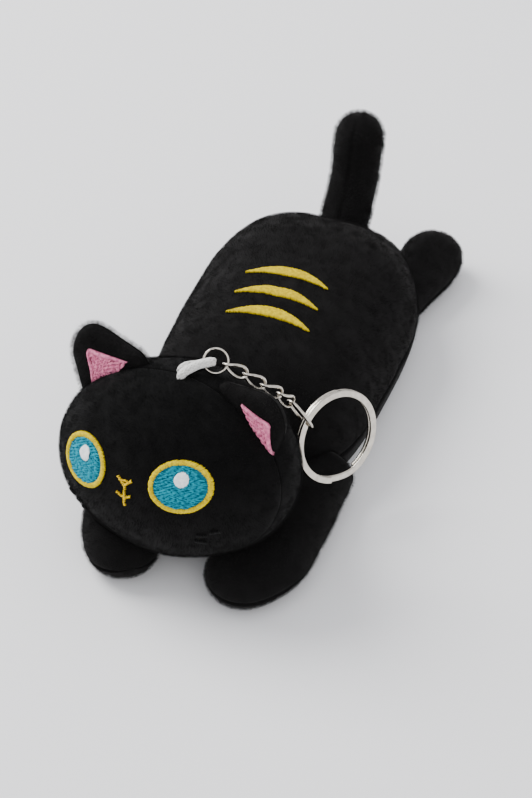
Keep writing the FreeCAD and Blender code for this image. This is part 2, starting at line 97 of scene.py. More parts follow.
# ---- materials ----
class Nodes:
    """A short way to build a node material."""

    def __init__(self, name):
        self.material = bpy.data.materials.new(name)
        self.material.use_nodes = True
        self.tree = self.material.node_tree
        self.shader = self.tree.nodes["Principled BSDF"]

    def set(self, **values):
        for key, value in values.items():
            self.shader.inputs[key.replace("_", " ")].default_value = value

    def add(self, kind, **settings):
        node = self.tree.nodes.new(kind)
        for key, value in settings.items():
            if key in node.inputs:
                node.inputs[key].default_value = value
            else:
                setattr(node, key, value)
        return node

    def link(self, source, target):
        self.tree.links.new(source, target)

    def noise(self, scale, detail=2.0):
        where = self.add("ShaderNodeTexCoord")
        node = self.add("ShaderNodeTexNoise", Scale=scale, Detail=detail)
        self.link(where.outputs["Object"], node.inputs["Vector"])
        return node

    def ramp(self, source, stops, target):
        node = self.add("ShaderNodeValToRGB")
        elements = node.color_ramp.elements
        for element, (place, colour) in zip(elements, stops):
            element.position = place
            element.color = (*colour, 1.0)
        self.link(source, node.inputs["Fac"])
        self.link(node.outputs["Color"], self.shader.inputs[target])

    def bump(self, source, strength, distance):
        node = self.add("ShaderNodeBump", Strength=strength, Distance=distance)
        self.link(source, node.inputs["Height"])
        self.link(node.outputs["Normal"], self.shader.inputs["Normal"])


def minky(name, dark, light, sheen):
    """Short dense pile: almost black, in soft patches where it is brushed."""
    m = Nodes(name)
    m.set(Roughness=0.9, Specular_IOR_Level=0.12, Sheen_Weight=sheen, Sheen_Roughness=0.45)
    m.set(Sheen_Tint=(0.80, 0.76, 0.74, 1.0))
    m.ramp(m.noise(60.0, 1.5).outputs["Fac"], ((0.3, dark), (0.75, light)), "Base Color")
    m.bump(m.noise(2600.0, 3.0).outputs["Fac"], 0.35, 0.0003)
    return m.material


def thread(name, shade, bright, rough=0.5, sheen=0.25):
    m = Nodes(name)
    m.set(Roughness=rough, Specular_IOR_Level=0.12, Sheen_Weight=sheen, Sheen_Roughness=0.4)
    m.ramp(m.noise(1300.0, 2.0).outputs["Fac"], ((0.35, shade), (0.65, bright)), "Base Color")
    return m.material


def nickel():
    m = Nodes("nickel_plate")
    m.set(Metallic=1.0)
    noise = m.noise(700.0, 3.0).outputs["Fac"]
    m.ramp(noise, ((0.3, (0.50, 0.46, 0.40)), (0.7, (0.66, 0.62, 0.55))), "Base Color")
    m.ramp(noise, ((0.3, (0.10,) * 3), (0.7, (0.20,) * 3)), "Roughness")
    return m.material


def head_pile(name, dark, light):
    """The head's pile, with painted shade: darker towards the top of the head and lighter lower
    down, by world height.
    """
    m = Nodes(name)
    m.set(Roughness=0.9, Specular_IOR_Level=0.12, Sheen_Weight=0.03, Sheen_Roughness=0.45)
    where = m.add("ShaderNodeNewGeometry")
    split = m.add("ShaderNodeSeparateXYZ")
    m.link(where.outputs["Position"], split.inputs[0])
    # painted shade: world height 50 mm gives the darkest colour, 10 mm the lightest
    level = m.add("ShaderNodeMapRange")
    for key, value in (("From Min", 0.050), ("From Max", 0.010), ("To Min", 0.0), ("To Max", 1.0)):
        level.inputs[key].default_value = value
    m.link(split.outputs["Z"], level.inputs["Value"])
    m.ramp(level.outputs["Result"], ((0.0, dark), (1.0, light)), "Base Color")
    m.bump(m.noise(2600.0, 3.0).outputs["Fac"], 0.35, 0.0003)
    return m.material


# head covers and their pile, with painted shade: darker high on the head, lighter low down
HEAD_MINKY_PAINTED_SHADE = head_pile("black_head_minky_painted_shade", (0.0006, 0.00055, 0.00055), (0.0050, 0.0046, 0.0046))
HEAD_PILE_PAINTED_SHADE = head_pile("black_head_pile_painted_shade", (0.0008, 0.0007, 0.0007), (0.0068, 0.0062, 0.0062))
MINKY = minky("black_minky", (0.0024, 0.0022, 0.0022), (0.0036, 0.0033, 0.0033), 0.05)
PILE = minky("black_pile", (0.0030, 0.0027, 0.0027), (0.0050, 0.0046, 0.0046), 0.08)
YELLOW = thread("yellow_thread", (0.52, 0.37, 0.0), (0.74, 0.57, 0.0), 0.6, 0.0)
TEAL = thread("teal_thread", (0.0, 0.15, 0.22), (0.0, 0.32, 0.42), 0.5, 0.0)
# underlay layer in darker teal: its dark colour is painted shade between the iris stitches
TEAL_UNDERLAY_SHADE = thread("teal_underlay_painted_shade", (0.0, 0.10, 0.15), (0.0, 0.15, 0.22), 0.6, 0.0)
WHITE = thread("white_thread", (0.74, 0.78, 0.80), (0.92, 0.93, 0.93), 0.4)
GOLD = thread("gold_thread", (0.60, 0.36, 0.0), (0.90, 0.62, 0.02), 0.5, 0.0)
PINK = thread("pink_thread", (0.55, 0.12, 0.24), (0.85, 0.27, 0.42), 0.45, 0.1)
# underlay layer in darker pink: its dark colour is painted shade between the inner-ear stitches
PINK_UNDERLAY_SHADE = thread("pink_underlay_painted_shade", (0.30, 0.06, 0.12), (0.42, 0.10, 0.18))
BLACK = thread("black_thread", (0.002, 0.002, 0.002), (0.005, 0.005, 0.005), 0.6, 0.05)
CORD = thread("white_cord", (0.66, 0.65, 0.62), (0.84, 0.83, 0.80), 0.75)
METAL = nickel()


# ---- meshes ----
def mesh_object(name, points, faces, material, smooth=True):
    """A mesh from points in millimetres."""
    mesh = bpy.data.meshes.new(name)
    mesh.from_pydata([tuple(p) for p in np.asarray(points, float) * MM], [], faces)
    mesh.validate()
    mesh.materials.append(material)
    mesh.polygons.foreach_set("use_smooth", [smooth] * len(mesh.polygons))
    mesh.update()
    thing = bpy.data.objects.new(name, mesh)
    bpy.context.scene.collection.objects.link(thing)
    return thing


def grid_faces(rows, cols, closed):
    """Quads over rows of points, with each row closed into a ring or left open."""
    faces = []
    span = cols if closed else cols - 1
    for r in range(rows - 1):
        for c in range(span):
            d = (c + 1) % cols
            faces.append((r * cols + c, r * cols + d, (r + 1) * cols + d, (r + 1) * cols + c))
    return faces


def smooth_noise(points, size, seed):
    """Soft lumps: a sum of a few waves, from -1 to 1, over points in millimetres."""
    waves = np.random.default_rng(seed)
    total = np.zeros(len(points))
    for _ in range(9):
        direction = waves.normal(size=3)
        direction /= np.linalg.norm(direction)
        wavelength = size * waves.uniform(0.7, 1.6)
        total += np.sin(points @ direction * 2 * math.pi / wavelength + waves.uniform(0, 6.3))
    return total / 4.5


def normals_of(points, faces):
    """Smooth normals at each point."""
    points = np.asarray(points, float)
    quads = np.array([f for f in faces if len(f) == 4])
    cross = np.cross(points[quads[:, 2]] - points[quads[:, 0]],
                     points[quads[:, 3]] - points[quads[:, 1]])
    total = np.zeros_like(points)
    for i in range(4):
        np.add.at(total, quads[:, i], cross)
    return total / np.maximum(np.linalg.norm(total, axis=1, keepdims=True), 1e-9)


def lumpy(points, faces, size, amount, seed):
    points = np.asarray(points, float)
    return points + normals_of(points, faces) * (smooth_noise(points, size, seed) * amount)[:, None]


def to_world(local):
    return np.asarray(local, float) @ HEAD_NP.T + HEAD_C


def to_head(world):
    return (np.asarray(world, float) - HEAD_C) @ HEAD_NP


def pressed_by_head(points, grow=0.35):
    """Move points that lie inside the head out to its surface."""
    local = to_head(points)
    size = np.array([HEAD_HALF_WIDTH, HEAD_RADIUS, HEAD_RADIUS]) + grow
    depth = np.sqrt(((local / size) ** 2).sum(1))
    inside = (depth < 1.0) & (depth > 0.05)
    local[inside] /= depth[inside][:, None]
    return to_world(local)


def soft(thing, nodes):
    """A stuffed piece of the plush: hide the CAD nodes it stands for and attach it to the plush
    body.
    """
    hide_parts(*nodes)
    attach(thing, "plush")
    return thing


class Skin:
    """A piece's surface, to lay stitches on."""

    def __init__(self, thing):
        mesh = thing.data
        self.tree = BVHTree.FromPolygons([v.co for v in mesh.vertices],
                                         [tuple(p.vertices) for p in mesh.polygons])

    def at(self, start, way, lift=0.0):
        """The point where a ray from start meets the skin, raised by lift, all in mm."""
        place, normal, _, _ = self.tree.ray_cast(Vector(start) * MM, Vector(way))
        if place is None:
            return None
        if normal.dot(Vector(way)) > 0:
            normal = -normal
        return place / MM + normal * lift


class Stitches:
    """Many short threads in one mesh."""

    def __init__(self):
        self.points, self.faces = [], []

    def add(self, line, radius, sides=6):
        """A thread along a line of points, rounded off at both ends."""
        line = [Vector(p) for p in line if p is not None]
        if len(line) < 2:
            return
        first = len(self.points)
        count = len(line)
        side = None
        for i, place in enumerate(line):
            way = (line[min(i + 1, count - 1)] - line[max(i - 1, 0)]).normalized()
            if side is None:
                side = way.orthogonal().normalized()
            side = (side - way * side.dot(way)).normalized()
            other = way.cross(side)
            end = i in (0, count - 1)
            size = radius * (0.45 if end else 1.0)
            for k in range(sides):
                turn = 2 * math.pi * k / sides
                self.points.append(place + (side * math.cos(turn) + other * math.sin(turn)) * size)
        for i in range(count - 1):
            for k in range(sides):
                j = (k + 1) % sides
                a = first + i * sides
                self.faces.append((a + k, a + j, a + sides + j, a + sides + k))
        self.faces.append(tuple(first + k for k in reversed(range(sides))))
        last = first + (count - 1) * sides
        self.faces.append(tuple(last + k for k in range(sides)))

    def build(self, name, material):
        return mesh_object(name, self.points, self.faces, material)


# ---- torso ----
def torso_ring(inset, height, wide=1.0, long=1.0):
    """A rounded oblong outline of the torso, a little puckered beside its seam."""
    angle = np.linspace(0, 2 * math.pi, TORSO_COUNT, endpoint=False)
    power = 2 / 3.2
    along = np.sign(np.sin(angle)) * np.abs(np.sin(angle)) ** power
    across = np.sign(np.cos(angle)) * np.abs(np.cos(angle)) ** power
    y = along * np.where(along > 0, TORSO_BACK - inset, TORSO_FRONT - inset) * long
    x = across * (TORSO_HALF_WIDTH - inset) * wide * (1 + TORSO_TAPER * y)
    pucker = 0.22 * np.exp(-abs(height - TORSO_SEAM) / 1.6) * np.sin(angle * 41 + np.sin(angle * 7))
    return np.stack([x * (1 + pucker / 60), y * (1 + pucker / 60), np.full(TORSO_COUNT, height)], 1)


def even_ring(ring, count):
    """Spread count points evenly round a closed ring."""
    closed = np.vstack([ring, ring[:1]])
    reach = np.concatenate([[0], np.cumsum(np.linalg.norm(np.diff(closed, axis=0), axis=1))])
    wanted = np.linspace(0, reach[-1], count, endpoint=False)
    return np.stack([np.interp(wanted, reach, column) for column in closed.T], 1)


def cap(points, faces, first, count):
    """Close a ring with a fan round its middle."""
    centre = np.mean(points[first:first + count], axis=0)
    points = np.vstack([points, centre])
    tip = len(points) - 1
    for c in range(count):
        faces.append((first + c, first + (c + 1) % count, tip))
    return points, faces


def torso_cover(name, rings, capped, turned, lumps, nodes):
    """A cover over torso rings, closed at the ring that starts at capped."""
    points = np.vstack([even_ring(ring, TORSO_COUNT) for ring in rings])
    faces = grid_faces(len(rings), TORSO_COUNT, True)
    if turned:
        faces = [f[::-1] for f in faces]
    points, faces = cap(points, faces, capped * TORSO_COUNT, TORSO_COUNT)
    if lumps:
        points = lumpy(points, faces, 26.0, lumps, 3)
    return soft(mesh_object(name, pressed_by_head(points), faces, MINKY), nodes)


def build_torso():
    """The domed back over the side seam, and the drawn-in belly under it."""
    rings = [torso_ring(inset, TORSO_SEAM + up)
             for inset, up in ((3.2, 0.3), (1.2, 0.25), (0.45, 0.45), (0.05, 1.0))]
    for lift_angle in np.concatenate([np.linspace(4, 60, 44), np.linspace(62, 86, 30)]):
        lift = math.sin(math.radians(lift_angle))
        wide = (1 - lift ** 2.2) ** (1 / 2.2)
        long = (1 - lift ** 2.8) ** (1 / 2.8)
        height = TORSO_SEAM + (TORSO_TOP - TORSO_SEAM) * lift
        rings.append(torso_ring(0, height, wide, long))
    back = torso_cover("torso_back_cover", rings, len(rings) - 1, False, 0.28,
                       ["torso_back_panel", "torso_stuffing"])
    rings = []
    for share in np.linspace(0, 1, 9):
        inset = TORSO_TUCK * (1 - math.sqrt(1 - (1 - share) ** 2))
        rings.append(torso_ring(inset, share * (TORSO_SEAM - 0.45)))
    rings += [torso_ring(inset, TORSO_SEAM - down)
              for inset, down in ((0.5, 0.25), (1.4, 0.1), (3.4, 0.1))]
    belly = torso_cover("torso_belly_cover", rings, 0, True, 0.0, ["torso_belly_panel"])
    return back, belly


# ---- head ----
def head_ring(y, shrink):
    angle = np.linspace(0, 2 * math.pi, HEAD_COUNT, endpoint=False)
    size = math.sqrt(max(1 - (y / HEAD_RADIUS) ** 2, 0.0))
    x = (HEAD_HALF_WIDTH * size - shrink) * np.cos(angle)
    z = (HEAD_RADIUS * size - shrink) * np.sin(angle)
    return np.stack([x, np.full(HEAD_COUNT, y), z], 1)


def build_head():
    """The face and the back of the head, meeting at the ear-to-ear seam."""
    made = []
    for front, name in ((True, "head_face_cover"), (False, "head_back_cover")):
        side = -1 if front else 1
        rings = [head_ring(HEAD_SEAM + side * off, tuck)
                 for off, tuck in ((0.03, 1.6), (0.03, 0.25), (0.10, 0.08), (0.35, 0.0))]
        start = math.acos(min(1, abs(HEAD_SEAM + side * 1.5) / HEAD_RADIUS))
        if not front:
            start = math.pi - start
        for angle in np.linspace(start, 0.012, 84):
            rings.append(head_ring(side * HEAD_RADIUS * math.cos(angle), 0.0))
        points = np.vstack(rings)
        faces = grid_faces(len(rings), HEAD_COUNT, True)
        points, faces = cap(points, faces, (len(rings) - 1) * HEAD_COUNT, HEAD_COUNT)
        if not front:
            faces = [f[::-1] for f in faces]
        points = lumpy(to_world(points), faces, 22.0, 0.24, 5)
        # the head's material carries painted shade by height
        made.append(mesh_object(name, points, faces, HEAD_MINKY_PAINTED_SHADE))
    soft(made[0], ["head_face_panel", "head_stuffing"])
    soft(made[1], ["head_back_panel"])
    return made


# ---- ears ----
def ear_matrix(side, direction, distance, flop):
    """The ear's own frame in the world, in millimetres."""
    angle = math.radians(direction)
    at = Vector((side * distance * math.cos(angle), EAR_MIDDLE, distance * math.sin(angle)))
    lean = (Matrix.Rotation(side * math.radians(90 - direction), 4, "Y")
            @ Matrix.Rotation(math.radians(flop), 4, "X"))
    head = Matrix.Translation(HEAD_CENTRE) @ HEAD_TURN.to_4x4()
    return head @ Matrix.Translation(at) @ lean


def rounded_triangle(half, height, tip, root):
    """Points round a triangle with a rounded tip up +Z, on a straight root."""
    centre = np.array([0.0, height - tip])
    base = np.array([half, 0.0])
    reach = np.linalg.norm(base - centre)
    lean = math.acos(tip / reach) - math.atan2(centre[1], base[0])
    ring = [(base[0], -root), (base[0], 0.0)] if root else [(base[0], 0.0)]
    for angle in np.linspace(lean, math.pi - lean, 25):
        ring.append((centre[0] + tip * math.cos(angle), centre[1] + tip * math.sin(angle)))
    ring += [(-base[0], 0.0), (-base[0], -root)] if root else [(-base[0], 0.0)]
    return np.array(ring)


def build_ear(name):
    """A puffed front and back, sewn round the edge."""
    side, height, direction, distance, flop = EARS[name]
    matrix = np.array(ear_matrix(side, direction, distance, flop))
    count, rows = 220, 26
    outline = even_ring(rounded_triangle(EAR_HALF_BASE, height, EAR_TIP, EAR_ROOT), count)
    outline[:, 0] -= side * EAR_LEAN[name] * np.clip(outline[:, 1] / height, 0, 1)
    middle = np.array([0.0, height * 0.32])
    made = []
    for front, label in ((True, "front"), (False, "back")):
        toward = -1 if front else 1
        points = []
        for share in np.linspace(0.02, 1.0, rows):
            ring = middle + (outline - middle) * share
            puff = (1 - share ** 3.2) ** 0.5 if share < 1 else 0.0
            groove = 0.5 * math.exp(-((share - 0.955) / 0.02) ** 2)
            lift = EAR_THICK / 2 * (0.16 + 0.84 * puff) - groove
            if share == 1.0:
                lift = 0.1
            y = np.full(count, toward * lift)
            points.append(np.stack([ring[:, 0], y, ring[:, 1]], 1))
        points = np.vstack(points)
        faces = grid_faces(rows, count, True)
        points, faces = cap(points, faces, 0, count)
        if front:
            faces = [f[::-1] for f in faces]
        world = points @ matrix[:3, :3].T + matrix[:3, 3]
        world = lumpy(world, faces, 11.0, 0.18, 7 + side)
        thing = mesh_object(f"{name}_ear_{label}_cover", world, faces, MINKY)
        made.append(soft(thing, [f"{name}_ear_{label}"]))
    return made, matrix


def point_in(poly, x, z):
    inside = False
    j = len(poly) - 1
    for i in range(len(poly)):
        (xi, zi), (xj, zj) = poly[i], poly[j]
        if (zi > z) != (zj > z) and x < (xj - xi) * (z - zi) / (zj - zi) + xi:
            inside = not inside
        j = i
    return inside


def pink_outline(name, grow, count):
    """The edge of the pink inner ear in the ear's X-Z plane."""
    half, height, tip, base, shift = PINKS[name]
    ring = rounded_triangle(half + grow, height + grow, tip + grow, 0.0)
    ring[:, 1] = np.maximum(ring[:, 1], base - grow)
    ring[:, 0] -= EARS[name][0] * shift
    return even_ring(ring, count)


def embroider_ear(name, skin, matrix):
    """The pink inner ear: fill rows inside a satin border, over an underlay in darker pink whose
    colour is painted shade between the stitches.
    """
    height, base, count = EARS[name][1], PINKS[name][3], 90
    outline = pink_outline(name, 0.0, count)
    turn = Matrix(matrix.tolist())
    way = (turn.to_3x3() @ Vector((0, 1, 0))).normalized()
    stitches = Stitches()

    def place(x, z, lift):
        start = turn @ Vector((x, -20.0, z))
        return skin.at(start, way, lift)

    row, index, spacing = base - 0.5, 0, 0.30
    while row < height:
        x = -EAR_HALF_BASE + (index % 4) * 0.45
        while x < EAR_HALF_BASE:
            length = 1.75 + rng.uniform(-0.25, 0.25)
            slant = rng.uniform(-0.06, 0.06)
            ends = [(x, row), (x + length, row + slant)]
            if all(point_in(outline, *end) for end in ends):
                line = []
                for share in (0.0, 0.2, 0.5, 0.8, 1.0):
                    lift = 0.34 + 0.2 * math.sin(math.pi * share)
                    line.append(place(x + length * share, row + slant * share, lift))
                stitches.add(line, 0.19)
            x += length + 0.03
        row += spacing
        index += 1
    for i in range(count):
        a, b = outline[i], outline[(i + 1) % count]
        for share in (0.0, 0.33, 0.67):
            spot = a + (b - a) * share
            inward = np.array([0.0, height * 0.3]) - spot
            inward /= np.linalg.norm(inward)
            if spot[1] < base + 0.2:
                continue
            line = []
            for t in (0.0, 0.3, 0.7, 1.0):
                p = spot + inward * (1.25 * t - 0.1)
                line.append(place(p[0], p[1], 0.3 + 0.45 * math.sin(math.pi * t)))
            stitches.add(line, 0.17)
    thread_piece(stitches, f"{name}_ear_inner_threads", f"{name}_ear_inner", PINK)
    # sheet in darker pink under the stitches: a real underlay, darkened as painted shade in the
    # gaps
    patch(f"{name}_ear_inner_underlay", lambda x, z: place(x, z, 0.22),
          pink_outline(name, -0.2, 60), PINK_UNDERLAY_SHADE)


def patch(name, place, outline, material):
    """A thin sheet of underlay inside an outline, laid on a skin."""
    middle = outline.mean(axis=0)
    points, rows, count = [], 9, len(outline)
    for share in np.linspace(0.03, 1.0, rows):
        for spot in middle + (outline - middle) * share:
            points.append(place(*spot))
    if any(p is None for p in points):
        return
    points = np.array([tuple(p) for p in points])
    faces = grid_faces(rows, count, True)
    points, faces = cap(points, faces, 0, count)
    thing = mesh_object(name, points, faces, material)
    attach(thing, "plush")


# ---- face embroidery ----
def eye_oval(side, inset, count):
    """Points round an eye in the head's X-Z plane."""
    tilt = math.radians(side * EYE_TILT)
    ring = []
    for angle in np.linspace(0, 2 * math.pi, count, endpoint=False):
        x = (EYE_HALF[0] - inset) * math.cos(angle)
        z = (EYE_HALF[1] - inset) * math.sin(angle)
        ring.append((side * EYE_X + x * math.cos(tilt) - z * math.sin(tilt),
                     EYE_Z + x * math.sin(tilt) + z * math.cos(tilt)))
    return np.array(ring)


def face_place(skin):
    way = HEAD_TURN @ Vector((0, 1, 0))

    def place(x, z, lift):
        start = HEAD_CENTRE + HEAD_TURN @ Vector((x, -45.0, z))
        return skin.at(start, way, lift)

    return place


def thread_piece(stitches, name, node, material):
    """Threads that stand for one CAD node of embroidery."""
    thing = stitches.build(name, material)
    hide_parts(node)
    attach(thing, "plush")


def build_eye(side, name, place):
    """A satin rim round a filled iris, with a highlight on top."""
    rim = Stitches()
    count = 176
    outer, inner = eye_oval(side, -0.05, count), eye_oval(side, EYE_RIM, count)
    for i in range(count):
        a = outer[i] + rng.uniform(-0.09, 0.09, 2)
        b = inner[(i + 2) % count] + rng.uniform(-0.09, 0.09, 2)
        line = []
        for share in (0.0, 0.15, 0.5, 0.85, 1.0):
            p = a + (b - a) * share
            line.append(place(p[0], p[1], 0.06 + 0.62 * math.sin(math.pi * share) ** 0.6))
        rim.add(line, 0.17)
    thread_piece(rim, f"{name}_rim_threads", f"{name}_rim", YELLOW)
    iris = Stitches()
    edge = eye_oval(side, EYE_RIM - 0.15, 72)
    row, index, spacing = EYE_Z - EYE_HALF[1], 0, 0.265
    while row < EYE_Z + EYE_HALF[1]:
        x = side * EYE_X - EYE_HALF[0] + (index * 0.61) % 1.9
        while x < side * EYE_X + EYE_HALF[0]:
            length = rng.uniform(1.3, 2.1)
            bow = rng.uniform(-0.11, 0.11)
            if point_in(edge, x, row) and point_in(edge, x + length, row):
                line = []
                for share in (0.0, 0.18, 0.5, 0.82, 1.0):
                    z = row + bow * math.sin(2 * math.pi * share)
                    lift = 0.22 + 0.3 * math.sin(math.pi * share)
                    line.append(place(x + length * share, z, lift))
                iris.add(line, 0.155)
            x += length * 0.97
        row += spacing
        index += 1
    thread_piece(iris, f"{name}_iris_threads", f"{name}_iris", TEAL)
    # sheet in darker teal under the fill: a real underlay, darkened as painted shade in the gaps
    # between stitches
    patch(f"{name}_iris_underlay", lambda x, z: place(x, z, 0.24),
          eye_oval(side, EYE_RIM - 0.3, 72), TEAL_UNDERLAY_SHADE)
    shine = Stitches()
    centre = (side * EYE_X + 0.4, EYE_Z + 2.0)
    for x in np.arange(-1.55, 1.56, 0.17):
        half = 1.9 * math.sqrt(max(1 - (x / 1.65) ** 2, 0.0)) + rng.uniform(-0.08, 0.08)
        line = []
        for share in (0.0, 0.12, 0.5, 0.88, 1.0):
            z = centre[1] - half + 2 * half * share
            line.append(place(centre[0] + x, z, 0.48 + 0.38 * math.sin(math.pi * share) ** 0.5))
        shine.add(line, 0.16)
    thread_piece(shine, f"{name}_highlight_threads", f"{name}_highlight", WHITE)


def bar_stitches(stitches, place, a, b, width, spacing=0.24, lift=0.6):
    """Satin bars across a narrow stroke from a to b."""
    a, b = np.array(a), np.array(b)
    way = (b - a) / np.linalg.norm(b - a)
    side = np.array([-way[1], way[0]])
    count = max(int(np.linalg.norm(b - a) / spacing), 1)
    for i in range(count + 1):
        middle = a + (b - a) * i / count + rng.uniform(-0.08, 0.08, 2)
        half = width / 2 * rng.uniform(0.85, 1.25)
        lean = way * rng.uniform(-0.15, 0.25)
        line = []
        for share in (-1.0, -0.5, 0.0, 0.5, 1.0):
            p = middle + side * half * share + lean * share
            line.append(place(p[0], p[1], 0.05 + lift * math.cos(share * math.pi / 2) ** 0.6))
        stitches.add(line, 0.14)


def build_marks(place):
    """Nose, mouth and cheek stitches: strokes from a point to a point, with a width."""
    nose = (((-2.2, 2.8), (-0.2, 1.0), 0.75), ((1.8, 2.5), (0.1, 1.1), 0.7),
            ((-1.2, 2.2), (1.0, 2.1), 0.35))
    mouth = (((-0.1, 0.5), (-0.3, -4.4), 0.65), ((-2.3, -1.3), (-0.6, -2.0), 0.6),
             ((0.2, -2.1), (1.6, -1.6), 0.6))
    for name, strokes in (("nose", nose), ("mouth", mouth)):
        marks = Stitches()
        for a, b, width in strokes:
            bar_stitches(marks, place, a, b, width, 0.3, 0.42)
        thread_piece(marks, f"{name}_threads", f"{name}_stitches", GOLD)
    cheek = (((16.0, -11.9), (18.2, -12.4)), ((16.8, -10.0), (18.9, -10.0)),
             ((19.8, -8.9), (21.8, -8.5)))
    for side, name in ((-1, "right"), (1, "left")):
        marks = Stitches()
        for a, b in cheek:
            bar_stitches(marks, place, (side * a[0], a[1]), (side * b[0], b[1]), 0.75)
        thread_piece(marks, f"{name}_cheek_threads", f"{name}_cheek_stitches",
                     BLACK)


def build_stripes(skin):
    """Satin claw stripes on the back, bowed towards the rump."""
    def place(x, y, lift):
        return skin.at((x, y, 60.0), (0, 0, -1), lift)

    for number, (cx, cy) in enumerate(STRIPES, start=1):
        stitches = Stitches()
        for x in np.arange(-STRIPE_HALF + 0.25, STRIPE_HALF - 0.2, 0.21):
            share = x / STRIPE_HALF
            top = cy + STRIPE_SAG * (1 - share ** 2)
            bottom = cy + (STRIPE_SAG - STRIPE_THICK) * (1 - share ** 2)
            jag = rng.uniform(-0.16, 0.16, 2)
            line = []
            for t in (0.0, 0.12, 0.5, 0.88, 1.0):
                y = bottom + jag[0] + (top + jag[1] - bottom - jag[0]) * t
                lift = 0.08 + 0.6 * math.sin(math.pi * t) ** 0.5
                line.append(place(cx + x + 0.35 * (t - 0.5), y, lift))
            stitches.add(line, 0.165)
        thread_piece(stitches, f"back_stripe_{number}_threads", f"back_stripe_{number}",
                     YELLOW)


# ---- legs and tail ----
def leg_path(route, steps):
    """Centres and directions along a leg: straight, then bending."""
    (x, y), heading, run, bend, angle, _ = route
    way = Matrix.Rotation(math.radians(heading), 3, "Z") @ Vector((1, 0, 0))
    sign = math.copysign(1, angle)
    side = Vector((0, 0, 1)).cross(way) * sign
    start = Vector((x, y, 0))
    corner = start + way * run
    hub = corner + side * bend
    arc = bend * math.radians(abs(angle))
    for reach in np.linspace(0, run + arc, steps):
        if reach <= run:
            yield start + way * reach, way
        else:
            turn = Matrix.Rotation(sign * (reach - run) / bend, 3, "Z")
            yield hub + turn @ (corner - hub), turn @ way


def build_leg(name):
    """An upper and a sole with rounded ends, sewn along both sides."""
    route = LEGS[name]
    half_width, half_height, middle = route[-1]
    stations = [(p, w, 1.0) for p, w in leg_path(route, 60)]
    root, first, _ = stations[0]
    leans = np.radians(np.linspace(86, 8, 14))
    stations = [(root - first * (0.5 * half_width * math.sin(a)), first, math.cos(a))
                for a in leans] + stations
    end, way, _ = stations[-1]
    for lean in np.linspace(3, 88, 30):
        angle = math.radians(lean)
        stations.append((end + way * (half_width * math.sin(angle)), way, math.cos(angle)))
    seam = math.asin((LEG_SEAM - middle) / half_height)
    made = []
    for upper, label in ((True, "upper"), (False, "sole")):
        low, high = (seam, math.pi - seam) if upper else (math.pi - seam, 2 * math.pi + seam)
        count = 66
        angles = np.linspace(low, high, count)
        points = []
        for centre, direction, share in stations:
            side = Vector((0, 0, 1)).cross(direction) * -1
            for k, angle in enumerate(angles):
                edge = min(k, count - 1 - k)
                tuck = (1.8, 0.55, 0.12)[edge] if edge < 3 else 0.0
                across = max(half_width * share - tuck, 0.0) * math.cos(angle)
                rise = half_height * share * math.sin(angle)
                shift = 0.16 if edge < 3 else 0.0
                z = middle + rise + (shift if upper else -shift)
                if z < 1.2:
                    z = 0.02 + 1.18 * math.exp((z - 1.2) / 1.2)
                points.append(centre + side * across + Vector((0, 0, z)))
        points = np.array([tuple(p) for p in points])
        faces = [f[::-1] for f in grid_faces(len(stations), count, False)]
        points = lumpy(points, faces, 15.0, 0.2, 17)
        points[:, 2] = np.maximum(points[:, 2], 0.02)
        thing = mesh_object(f"{name}_{label}_cover", pressed_by_head(points), faces, MINKY)
        nodes = [f"{name}_upper", f"{name}_stuffing"] if upper else [f"{name}_sole"]
        made.append(soft(thing, nodes))
    return made


def build_tail():
    """Out of the rump, round a bend and up to a fluffy round tip."""
    slope = math.radians(TAIL_SLOPE)
    way = Vector((0, math.cos(slope), math.sin(slope)))
    up = Vector((0, -way.z, way.y))
    corner = TAIL_START + way * TAIL_RUN
    hub = corner + up * TAIL_BEND
    stations = [(TAIL_START + way * s, way, 1.0) for s in np.linspace(0, TAIL_RUN, 10)]
    for turn in np.linspace(0, math.radians(TAIL_TURN), 20)[1:]:
        spin = Matrix.Rotation(turn, 3, "X")
        stations.append((hub + spin @ (corner - hub), spin @ way, 1.0))
    top, last = stations[-1][0], stations[-1][1]
    stations += [(top + last * s, last, 1.0) for s in np.linspace(0.6, TAIL_RISE, 8)]
    tip = stations[-1][0]
    for lean in np.linspace(5, 88, 24):
        angle = math.radians(lean)
        stations.append((tip + last * TAIL_RADIUS * math.sin(angle), last, math.cos(angle)))
    count, points = 72, []
    for centre, direction, share in stations:
        side = Vector((1, 0, 0))
        other = direction.cross(side)
        for k in range(count):
            angle = 2 * math.pi * k / count
            groove = 0.45 * math.exp(-(math.sin(angle / 2 + math.pi / 4) / 0.05) ** 2)
            reach = TAIL_RADIUS * share - groove * share
            points.append(centre + (side * math.cos(angle) + other * math.sin(angle)) * reach)
    points = np.array([tuple(p) for p in points])
    faces = grid_faces(len(stations), count, True)
    points, faces = cap(points, faces, (len(stations) - 1) * count, count)
    points = lumpy(points, faces, 12.0, 0.22, 23)
    thing = mesh_object("tail_cover_soft", points, faces, MINKY)
    return soft(thing, ["tail_cover", "tail_stuffing"])


# ---- cord ----
def cord_route():
    """Control points out of the crown, round the jump ring and back."""
    lean = math.radians(CORD_LEAN)
    radius = ACROSS * math.cos(lean) + RISE * math.sin(lean)
    held = JUMP_CENTRE - radius * JUMP_RADIUS
    crown = HEAD_CENTRE + HEAD_TURN @ Vector((2.2, HEAD_SEAM, 23.6))
    out = (HEAD_TURN @ Vector((0.05, -0.15, 1.0))).normalized()
    strand_way = (FACE - out * FACE.dot(out)).normalized()
    route = []
    for side in (1, -1):
        foot = crown + strand_way * (side * CORD_SPREAD)
        aside = FACE * (side * CORD_BEND)
        strand = [foot - out * 5.0, foot - out * 1.5, foot + out * 0.4,
                  foot + out * 1.6 + radius * 0.8,
                  held - radius * 1.3 + aside, held + radius * 0.3 + aside,
                  held + radius * CORD_BEND * 0.86 + aside * 0.86]
        route += strand if side > 0 else strand[::-1]
    middle = len(route) // 2
    route.insert(middle, held + radius * (CORD_BEND * 1.12))
    return route


